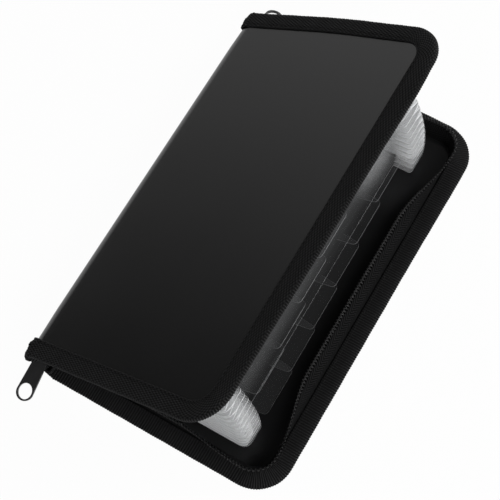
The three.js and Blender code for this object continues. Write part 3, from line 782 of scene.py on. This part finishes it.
def edging_section():
    """The tape's section: the face that shows, from its outer edge round the fold to its inner edge, as
    points, outward directions and distances, and then the hidden inside."""
    low = -FIT - EDGING_THICKNESS
    high = EDGING_INNER_FACE + EDGING_THICKNESS
    r = EDGING_ROUND
    shown = [(EDGING_OUTER, -FIT - CUT_CHAMFER), (EDGING_OUTER, low + CUT_ROUND),
             (EDGING_OUTER - CUT_ROUND, low)]
    shown += [(x, low) for x in np.linspace(EDGING_OUTER - 0.6, r, FACE_COLUMNS)]
    for a in np.radians(np.linspace(-90, -180, ROUND_COLUMNS)[1:]):
        shown.append((r + r * math.cos(a), low + r + r * math.sin(a)))
    for a in np.radians(np.linspace(180, 90, ROUND_COLUMNS)):
        shown.append((r + r * math.cos(a), high - r + r * math.sin(a)))
    shown += [(x, high) for x in np.linspace(r, EDGING_INNER - 0.8, INSIDE_COLUMNS)[1:]]
    shown += [(EDGING_INNER - CUT_ROUND, high), (EDGING_INNER, high - CUT_ROUND),
              (EDGING_INNER, EDGING_INNER_FACE + CUT_CHAMFER)]
    shown = np.array(shown)
    shown[:, 0] -= FOLD_BULGE * unit(1 - shown[:, 0] / FOLD_BULGE_DEPTH)
    step = np.gradient(shown, axis=0)
    step /= np.linalg.norm(step, axis=1)[:, None]
    outward = np.stack([-step[:, 1], step[:, 0]], 1)
    t = EDGING_THICKNESS
    hidden = np.array([(EDGING_INNER - CUT_CHAMFER, EDGING_INNER_FACE), (t, EDGING_INNER_FACE), (t, -FIT),
                       (EDGING_OUTER - CUT_CHAMFER, -FIT)])
    return shown, outward, lengths(shown), hidden


def woven_lift(place, shown, across, fade, rests):
    """How far the tape stands out of its plain section: weave, wrinkles, sewn grooves, bunched corners."""
    s = place["distance"][:, None]
    v = across[None, :]
    depth = shown[:, 0][None, :]
    outer = (shown[:, 1] < OUTER_FACE)[None, :]
    face = np.maximum(0, WEAVE_SPAN - v)
    on_face = unit(face / EDGE_FADE)
    dots = ripple(s, WEAVE_PITCH) * ripple(face, WEAVE_ROW)
    lift = (RIB_HEIGHT * ripple(s, RIB_PITCH) * (1 - on_face) + WEAVE_HEIGHT * dots * on_face) * fade
    wrinkle = WRINKLE_HEIGHT * ripple(s, WRINKLE_LONG, WRINKLE_SLANT * v) * ripple(s, WRINKLE_SHORT)
    lift = lift + wrinkle * fade
    lift = lift - GROOVE_OUTER * bell(depth, STITCH_OUTER, GROOVE_OUTER_WIDTH) * outer
    lift = lift - GROOVE_INNER * bell(depth, STITCH_INNER, GROOVE_INNER_WIDTH) * ~outer
    bunched = BUNCH_HEIGHT * np.sin(np.pi * place["corner"])[:, None] ** 2 * ripple(s, BUNCH_PERIOD)
    lift = lift + bunched * unit(depth / BUNCH_DEPTH) * fade * ~outer
    if rests:
        lift = lift - (WEAVE_HEIGHT + WRINKLE_HEIGHT) * unit((depth - EDGING_ROUND) / REST_FADE) * outer
    return lift


def gathered_lift(place, shown, across, fade):
    """How far the doubled and gathered end of the tape stands out near the spine."""
    depth = shown[:, 0][None, :]
    past_lip = place["along"][:, None] - END_LIP
    nubs = sum(height * bell(past_lip, middle, length) * bell(depth, deep, width)
               for height, middle, length, deep, width in NUBS)
    doubled = DOUBLED_HEIGHT * unit((DOUBLED_END - past_lip) / DOUBLED_FADE) * unit(depth / DOUBLED_DEPTH)
    doubled = doubled + nubs * np.where(place["high"][:, None], HIGH_NUBS, 1.0)
    ridge = RIDGE_HEIGHT * bell(past_lip, RIDGE_PLACE, RIDGE_LENGTH)
    doubled = doubled + ridge * np.sin(RIDGE_WAVE * across[None, :]) ** 2
    outer_side = unit((EDGING_INNER_FACE - shown[:, 1]) / EDGE_FADE)[None, :]
    return doubled * fade * outer_side


def edging_draw(path, place, depth, gather, bulge, bow):
    """How far the tape is drawn in: gathered at the spine, fuller at the corner at +Y, bowed at the fore
    edge."""
    along = place["along"][:, None]
    high = place["high"][:, None]
    gathered = -gather * unit(1 - (along - END_LIP) / GATHER_LENGTH) ** GATHER_POWER
    gathered = gathered * unit(1 - depth / GATHER_DEPTH) * unit(along / END_LIP)
    drawn = np.where(high, end_draw(place["edge"][:, :1]), gathered)
    past_corner = along - path.bend - path.straight - path.arc
    near_fold = unit(1 - depth / SWELL_DEPTH)
    swell = smooth(place["corner"], *SWELL_CORNER)[:, None] * (1 - smooth(past_corner, *SWELL_FORE))
    drawn = drawn - np.where(high, bulge, 0.0) * (swell * near_fold)
    bowed = smooth(place["fore"], *BOW_RISE) * (1 - smooth(place["fore"], *BOW_FALL))
    return drawn - bow * bowed[:, None] * near_fold


def edging(name, put, body, node, look, gather, bulge, bow, rests):
    path = Edge(BEND, True)
    count = int(round(path.total / (RIB_PITCH / RIB_STEPS)))
    place = path.at(np.linspace(0, path.total, count + 1))
    shown, outward, across, hidden = edging_section()
    fade = unit(np.minimum(across, across[-1] - across) / EDGE_FADE)[None, :]
    lift = woven_lift(place, shown, across, fade, rests) + gathered_lift(place, shown, across, fade)
    drawn = edging_draw(path, place, shown[:, 0][None, :], gather, bulge, bow)
    a = shown[:, 0][None, :] + outward[:, 0][None, :] * lift + drawn
    b = shown[:, 1][None, :] + outward[:, 1][None, :] * lift
    hidden_in = hidden[:, 0] + np.where(place["high"][:, None], end_draw(place["edge"][:, :1]), 0.0)
    a = np.concatenate([a, hidden_in], 1)
    b = np.concatenate([b, np.broadcast_to(hidden[:, 1], (count + 1, len(hidden)))], 1)
    if rests:
        b = np.maximum(b, -FIT - EDGING_THICKNESS)
    points = sweep(place, a, b)
    inside = across[-1] + np.cumsum(np.full(len(hidden), HIDDEN_STEP))
    u = np.broadcast_to(place["distance"][:, None], a.shape)
    w = np.broadcast_to(np.concatenate([across, inside])[None, :], a.shape)
    obj = make(name, put(spine_out(points.reshape(-1, 3))), loft_faces(*a.shape), [look],
               uv=np.stack([u, w], -1), sharp=60)
    ride_edge(obj, put, body)
    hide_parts(node)


def ride_edge(obj, put, body):
    """Rides the back cover. On the front cover it is baked in place where it stands."""
    if body == "back_cover":
        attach(obj, body)
        return
    spine_middle, bend_end = to_row(put(np.array([[0, 0, MID], [0, 0, BEND]])))
    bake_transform(obj)


def stitches(name, put, body):
    """Two sewn rows through each edging, outside and inside."""
    path = Edge(BEND, True)
    count = int(path.total // STITCH_PITCH)
    rings = np.linspace(-1, 1, STITCH_RINGS)
    sides = circle()
    radius = STITCH_RADIUS * np.sqrt(np.clip(1 - rings ** 2, STITCH_TIP, 1))
    middles = (np.arange(count) + 0.5) * path.total / count
    s = (middles[:, None] + rings[None, :] * STITCH_LENGTH / 2).ravel()
    place = path.at(s)
    r = np.tile(radius, count)[:, None]
    rows = [(STITCH_OUTER, -FIT - EDGING_THICKNESS + STITCH_SUNK),
            (STITCH_INNER, EDGING_INNER_FACE + EDGING_THICKNESS - STITCH_SUNK)]
    drawn = np.where(place["high"], end_draw(place["edge"][:, 0]), 0.0)[:, None]
    uv = np.stack(np.broadcast_arrays(s[:, None], sides[None, :] / STITCH_TWIST), -1).reshape(-1, 2)
    points, faces = [], []
    for depth, height in rows:
        ring = sweep(place, depth + drawn + r * np.cos(sides)[None, :], height + r * np.sin(sides)[None, :])
        offset = count_of(points)
        points.append(ring.reshape(-1, 3))
        for n in range(count):
            faces += loft_faces(len(rings), len(sides), offset + n * len(rings) * len(sides))
    obj = make(name, put(spine_out(np.concatenate(points))), faces, [THREAD],
               uv=np.concatenate([uv] * len(rows)), sharp=80)
    ride_edge(obj, put, body)


# Coil zip

def zip_tape(name, put, body, node, lean):
    """The tape: sewn flat under the edging, then standing up, with a short tail at each end by the spine."""
    path = Edge(ZIP_WALL_START, False, ZIP_INSET)
    count = int(round(path.total / TAPE_STEP))
    place = path.at(np.linspace(0, path.total, count + 1))
    root = EDGE_ALLOWANCE + FIT
    inner, outer = ZIP_INSET + TAPE, ZIP_INSET
    heights = np.linspace(TAPE_BASE + TAPE_FOOT, TAPE_TOP - TAPE_ROUND, TAPE_ROWS)
    section = [(root, TAPE_BASE), (inner - TAPE_HEEL, TAPE_BASE),
               (inner - TAPE_HEEL_ROUND, TAPE_BASE + TAPE_ROUND)]
    section += [(inner, z) for z in heights]
    section += [(inner - TAPE_ROUND, TAPE_TOP), (outer + TAPE_ROUND, TAPE_TOP)]
    section += [(outer, z) for z in heights[::-1]]
    section += [(outer - TAPE_TOE, TAPE_BASE + TAPE), (root, TAPE_BASE + TAPE)]
    section = np.array(section)
    a = np.broadcast_to(section[:, 0], (count + 1, len(section)))
    b = np.broadcast_to(section[:, 1], (count + 1, len(section)))
    s = place["distance"][:, None]
    sway = SWAY * ripple(s, SWAY_SHORT) * ripple(s, SWAY_LONG, SWAY_PHASE)
    sway = sway * unit((b - EDGING_INNER_FACE) / SWAY_RISE)
    points = [sweep(place, a + zip_lean(place, b, lean) + sway, b).reshape(-1, 3)]
    faces = loft_faces(count + 1, len(section))
    uv = [np.stack(np.broadcast_arrays(s, lengths(section)[None, :]), -1).reshape(-1, 2)]
    tail = np.linspace(ZIP_START, ZIP_WALL_START + TAIL_LAP, TAIL_ROWS)
    tail_y = HALF - ZIP_INSET - TAPE
    low = TAPE_TOP - ZIP_TAIL
    ring = [(0, low), (0, TAPE_TOP - TAPE_ROUND), (TAPE_ROUND, TAPE_TOP), (TAPE - TAPE_ROUND, TAPE_TOP),
            (TAPE, TAPE_TOP - TAPE_ROUND), (TAPE, low)]
    for side in (-1, 1):
        faces += loft_faces(len(tail), len(ring), count_of(points))
        points.append(np.array([(x, side * (tail_y + d), z) for x in tail for d, z in ring]))
        uv.append(np.array([(x, z) for x in tail for d, z in ring]))
    obj = make(name, put(np.concatenate(points)), faces, [ZIPPER_TAPE],
               uv=np.concatenate(uv), sharp=60)
    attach(obj, body)
    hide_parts(node)


def coil(name, put, body, node, lean):
    """The teeth: one nylon wire wound along the free edge of the tape, flattened to the tape's sides."""
    path = Edge(ZIP_START, False, ZIP_INSET + TAPE / 2)
    run = path.total - 2 * COIL_END
    turns = int(round(run / COIL_PITCH))
    phase = np.linspace(0, 2 * np.pi * turns, turns * COIL_STEPS + 1)
    place = path.at(COIL_END + run * phase / phase[-1])
    wide = COIL_WIDTH / 2 - COIL_WIRE
    tall = COIL_HEIGHT / 2 - COIL_WIRE
    c, n = np.cos(phase), np.sin(phase)
    a = ZIP_INSET + TAPE / 2 + wide * np.sign(c) * np.abs(c) ** COIL_FLAT
    b = TEETH_TOP - COIL_HEIGHT / 2 + tall * np.sign(n) * np.abs(n) ** COIL_CROWN
    b = b[:, None]
    line = sweep(place, a[:, None] + zip_lean(place, b, lean), b)[:, 0, :]
    tangent = np.gradient(line, axis=0)
    tangent /= np.linalg.norm(tangent, axis=1)[:, None]
    radial = place["inward"] * c[:, None] + place["through"] * n[:, None]
    radial -= tangent * (radial * tangent).sum(1)[:, None]
    radial /= np.linalg.norm(radial, axis=1)[:, None]
    third = np.cross(tangent, radial)
    sides = circle()
    rings = (line[:, None, :] + COIL_WIRE * (np.cos(sides)[None, :, None] * radial[:, None, :]
                                             + np.sin(sides)[None, :, None] * third[:, None, :]))
    obj = make(name, put(rings.reshape(-1, 3)), loft_faces(len(line), len(sides)), [NYLON],
               sharp=80)
    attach(obj, body)
    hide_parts(node)


# Pocket insert

def sheet_height(number):
    return SHEET_START + number * SHEET_PITCH


def sheet_angle(number):
    return OPEN if number > DIVIDERS else number * FAN_SHARE * OPEN


def rounded(corners, steps=8):
    """An outline with round corners, from corners of (x, y, radius)."""
    line = []
    for n, (x, y, radius) in enumerate(corners):
        tip = np.array([x, y], float)
        if radius == 0:
            line.append(tip)
            continue
        before = np.array(corners[n - 1][:2], float) - tip
        after = np.array(corners[(n + 1) % len(corners)][:2], float) - tip
        first = tip + before / np.linalg.norm(before) * radius
        last = tip + after / np.linalg.norm(after) * radius
        for t in np.linspace(0, 1, steps + 1):
            line.append((1 - t) ** 2 * first + 2 * t * (1 - t) * tip + t ** 2 * last)
    return np.array(line)


def sheet_outline(number):
    half, top, cut = SHEET_LENGTH / 2, SHEET_REACH, SHEET_REACH - TAB_HEIGHT
    corners = [(SHEET_ROOT, -half, 0), (cut, -half, 0), (top, -half, EAR_CORNER),
               (top, -half + EAR_LOW, TAB_CORNER), (cut, -half + EAR_LOW, 0)]
    if 1 <= number <= DIVIDERS:
        low = -half + EAR_LOW + TAB_ROW_LOW_GAP + (number - 1) % COLUMNS * TAB_PITCH
        high = low + TAB_PITCH + TAB_OVERLAP
        corners += [(cut, low - TAB_SLANT, 0), (top, low, TAB_CORNER), (top, high, TAB_CORNER),
                    (cut, high + TAB_SLANT, 0)]
    corners += [(cut, half - EAR_HIGH, 0), (top, half - EAR_HIGH, TAB_CORNER), (top, half, EAR_CORNER),
                (cut, half, 0), (SHEET_ROOT, half, 0)]
    return rounded(corners)


def sheet(name, number, body, node):
    """A leaf or a divider, with looks of their own for its ears, its rims and the cut beside its tab."""
    line = sheet_outline(number)
    count = len(line)
    low = sheet_height(number)
    levels = [np.column_stack([line, np.full(count, z)]) for z in (low, low + SHEET)]
    points = turned(np.concatenate(levels), sheet_angle(number))
    i = np.arange(count)
    after = (i + 1) % count
    on_cut = np.isclose(line[:, 0], SHEET_REACH - TAB_HEIGHT)
    cuts = np.nonzero(on_cut)[0]
    low_ear = i[cuts[0]:cuts[1] + 1]
    high_ear = i[cuts[-2]:cuts[-1] + 1]
    main = np.concatenate([i[:cuts[0] + 1], i[cuts[1]:cuts[-2] + 1], i[cuts[-1]:]])
    faces, kinds = [], []
    for patch, kind in ((main, ON_SHEET), (low_ear, ON_EAR), (high_ear, ON_EAR)):
        faces += [patch[::-1].tolist(), (patch + count).tolist()]
        kinds += [kind, kind]
    faces += np.stack([i, after, after + count, i + count], 1).tolist()
    on_ear = np.isclose(np.abs(line[:, 1]), SHEET_LENGTH / 2)
    on_ear[low_ear] = on_ear[high_ear] = True
    rims = [on_ear & on_ear[after], on_cut & on_cut[after]]
    kinds += np.select(rims, [ON_EAR_RIM, ON_CUT], ON_RIM).tolist()
    obj = make(name, points, faces, SHEET_LOOKS, face_materials=kinds, sharp=30)
    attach(obj, body)
    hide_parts(node)


def folded(low, high, end, side, shares, depths):
    """Points between two sheets, at shares of the way up and at depths in from the end."""
    return [low + (high - low) * share + np.array([0, side * (end - depth), 0])
            for share, depth in zip(shares, depths)]


def fold(name, number, node):
    """Gusset of one pocket: strips of even width, folded inwards at both ends, and the pocket's base."""
    floor = sheet_height(number - 1) + SHEET + FOLD_FIT
    ceiling = sheet_height(number) - FOLD_FIT
    lower_angle, upper_angle = sheet_angle(number - 1), sheet_angle(number)
    half = SHEET_LENGTH / 2
    bow = np.radians(np.linspace(0, FOLD_CORNER_DEGREES, FOLD_CORNER_ROWS))[1:]
    places = np.concatenate([np.linspace(SHEET_ROOT, SHEET_REACH - EAR_CORNER, FOLD_ROWS),
                             SHEET_REACH - EAR_CORNER * (1 - np.sin(bow))])
    drawn = np.concatenate([np.zeros(FOLD_ROWS), EAR_CORNER * (1 - np.cos(bow))])
    flat = np.zeros(len(places))
    lower = turned(np.column_stack([places, flat, flat + floor]), lower_angle)
    upper = turned(np.column_stack([places, flat, flat + ceiling]), upper_angle)
    rise = np.linalg.norm(upper - lower, axis=1)
    share = np.array([0, 0.5, 1])
    depth = np.array([0, 1, 0])
    points, faces = [], []
    for side in (-1, 1):
        rings = []
        for low, high, r, back in zip(lower, upper, rise, drawn):
            deep = math.sqrt(FOLD_WIDTH ** 2 - (r / 2) ** 2)
            deep = deep * (1 - FOLD_CORNER_DRAW * (back / EAR_CORNER) ** 0.5)
            wall = min(FOLD_WALL_LIMIT, FOLD_THICKNESS * FOLD_WIDTH / (deep * r))
            inner_share = wall + (1 - 2 * wall) * share
            inner_depth = deep * (1 - 2 * wall) * depth
            rings.append(folded(low, high, half - back, side, share, deep * depth)
                         + folded(low, high, half - back, side, inner_share[::-1], inner_depth[::-1]))
        faces += loft_faces(len(rings), len(rings[0]), count_of(points))
        points.append(np.array(rings).reshape(-1, 3))
    base = SHEET_ROOT + POCKET_BASE
    ring = np.concatenate([turned([[SHEET_ROOT, 0, floor], [base, 0, floor]], lower_angle),
                           turned([[base, 0, ceiling], [SHEET_ROOT, 0, ceiling]], upper_angle)])
    ys = np.linspace(-half + POCKET_BASE_INSET, half - POCKET_BASE_INSET, BASE_ROWS)
    faces += loft_faces(len(ys), len(ring), count_of(points))
    points.append(np.array([ring + np.array([0, y, 0]) for y in ys]).reshape(-1, 3))
    obj = make(name, np.concatenate(points), faces, [FROST_FOLD], sharp=50)
    crease = (lower + upper) / 2
    run = crease[-1] - crease[0]
    up = np.array([-run[2], 0, run[0]]) / np.linalg.norm(run)
    near = CREASE_SHARE * min(np.min((crease - lower) @ up), np.min((upper - crease) @ up)) * up
    start, end = to_row([crease[0] - near, crease[0] + near])
    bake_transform(obj)
    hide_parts(node)


# Zip ends

def zip_end_metal(node):
    """The look and the small rounded edges of a metal node, which keeps its shape."""
    obj = frame["nodes"][node]
    obj.data.materials.clear()
    obj.data.materials.append(ENAMEL)
    obj.data.shade_smooth()
    obj.data.set_sharp_from_angle(angle=math.radians(35))
    bevel = obj.modifiers.new("rounded_edges", "BEVEL")
    bevel.width = 0.00022
    bevel.segments = 2
    bevel.limit_method = "ANGLE"
    bevel.angle_limit = math.radians(50)


for prefix, put, lean, woven, gather, bulge, bow in (
        ("back", same, BACK_LEAN, BACK_WOVEN, BACK_GATHER, BACK_BULGE, 0.0),
        ("front", as_front, FRONT_LEAN, FRONT_WOVEN, FRONT_GATHER, FRONT_BULGE, FORE_BOW)):
    cover = f"{prefix}_cover"
    panel(f"{prefix}_panel", put, cover, cover)
    edging(f"{prefix}_edging", put, cover, f"{prefix}_binding", woven, gather, bulge, bow, prefix == "back")
    stitches(f"{prefix}_stitches", put, cover)
    zip_tape(f"{prefix}_tape", put, cover, f"{prefix}_zip_tape", lean)
    coil(f"{prefix}_coil", put, cover, f"{prefix}_zip_teeth", lean)
spine()

bodies = ["back_cover", *[f"divider_{n:02d}" for n in range(1, DIVIDERS + 1)], "front_leaf"]
nodes = ["back_leaf", *bodies[1:]]
for number, (body, node) in enumerate(zip(bodies, nodes)):
    sheet(f"pocket_sheet_{number:02d}", number, body, node)
for number in range(1, DIVIDERS + 2):
    fold(f"pocket_fold_{number:02d}", number, f"gusset_{number:02d}")
for end in ("low", "high"):
    zip_end_metal(f"{end}_slider")
    zip_end_metal(f"{end}_pull")


# Floor, light and camera

def floor():
    """A floor that shows white, and that otherwise takes light as a pale matt one."""
    mesh = bpy.data.meshes.new("floor")
    size = FLOOR_HALF
    corners = [(-size, -size, 0), (size, -size, 0), (size, size, 0), (-size, size, 0)]
    mesh.from_pydata(corners, [], [(0, 1, 2, 3)])
    obj = bpy.data.objects.new("floor", mesh)
    SCENE.collection.objects.link(obj)
    look = Look("pale_floor")
    look.set(Base_Color=(FLOOR_GREY, FLOOR_GREY, FLOOR_GREY, 1), Roughness=0.9)
    rays = look.add("ShaderNodeLightPath").outputs
    seen = look.math("MAXIMUM", rays["Is Camera Ray"], rays["Is Glossy Ray"])
    seen = look.math("MAXIMUM", seen, rays["Is Transmission Ray"])
    white = look.add("ShaderNodeEmission", {"Color": (1, 1, 1, 1), "Strength": 1.0})
    mixed = look.add("ShaderNodeMixShader", {0: look.math("MULTIPLY", seen, FLOOR_WHITE),
                                             1: look.shader.outputs[0], 2: white.outputs[0]})
    look.put(look.output, 0, mixed.outputs[0])
    mesh.materials.append(look.material)


def world():
    """Dim light from all round, with a wide glow on the far side and a paler top."""
    SCENE.world = bpy.data.worlds.new("studio")
    SCENE.world.use_nodes = True
    light = Nodes(SCENE.world.node_tree)
    direction = light.place("Generated")
    pair = {0: direction, 1: Vector(GLOW_DIRECTION).normalized()}
    towards = light.add("ShaderNodeVectorMath", pair, operation="DOT_PRODUCT").outputs["Value"]
    glow = light.math("POWER", light.ramp(towards, *GLOW_COSINES, 0.0, GLOW_LEVEL), 2.0)
    top = light.ramp(light.axis(direction, 2), *TOP_HEIGHTS, *TOP_LEVELS, interpolation_type="SMOOTHSTEP")
    background = light.add("ShaderNodeBackground", {"Strength": light.math("ADD", glow, top)})
    light.add("ShaderNodeOutputWorld", {0: background.outputs[0]})


def lamp(name, place, target, size, power):
    data = bpy.data.lights.new(name, "AREA")
    data.shape = "RECTANGLE"
    data.size, data.size_y = size
    data.energy = power
    obj = bpy.data.objects.new(name, data)
    obj.location = place
    obj.rotation_euler = (Vector(target) - Vector(place)).to_track_quat("-Z", "Y").to_euler()
    SCENE.collection.objects.link(obj)


def camera():
    data = bpy.data.cameras.new("camera")
    data.sensor_width = CAMERA_SENSOR
    data.lens = CAMERA_LENS
    data.clip_start = CAMERA_NEAR
    obj = bpy.data.objects.new("camera", data)
    turn = Matrix((Vector(CAMERA_RIGHT), -Vector(CAMERA_DOWN), -Vector(CAMERA_FORWARD))).transposed()
    place = Vector(to_row([CAMERA_PLACE])[0])
    obj.matrix_world = Matrix.Translation(place) @ turn.to_4x4()
    SCENE.collection.objects.link(obj)
    SCENE.camera = obj


floor()
world()
for settings in LAMPS:
    lamp(*settings)
camera()
SCENE.view_settings.view_transform = "Standard"
SCENE.cycles.transparent_max_bounces = CLEAR_BOUNCES
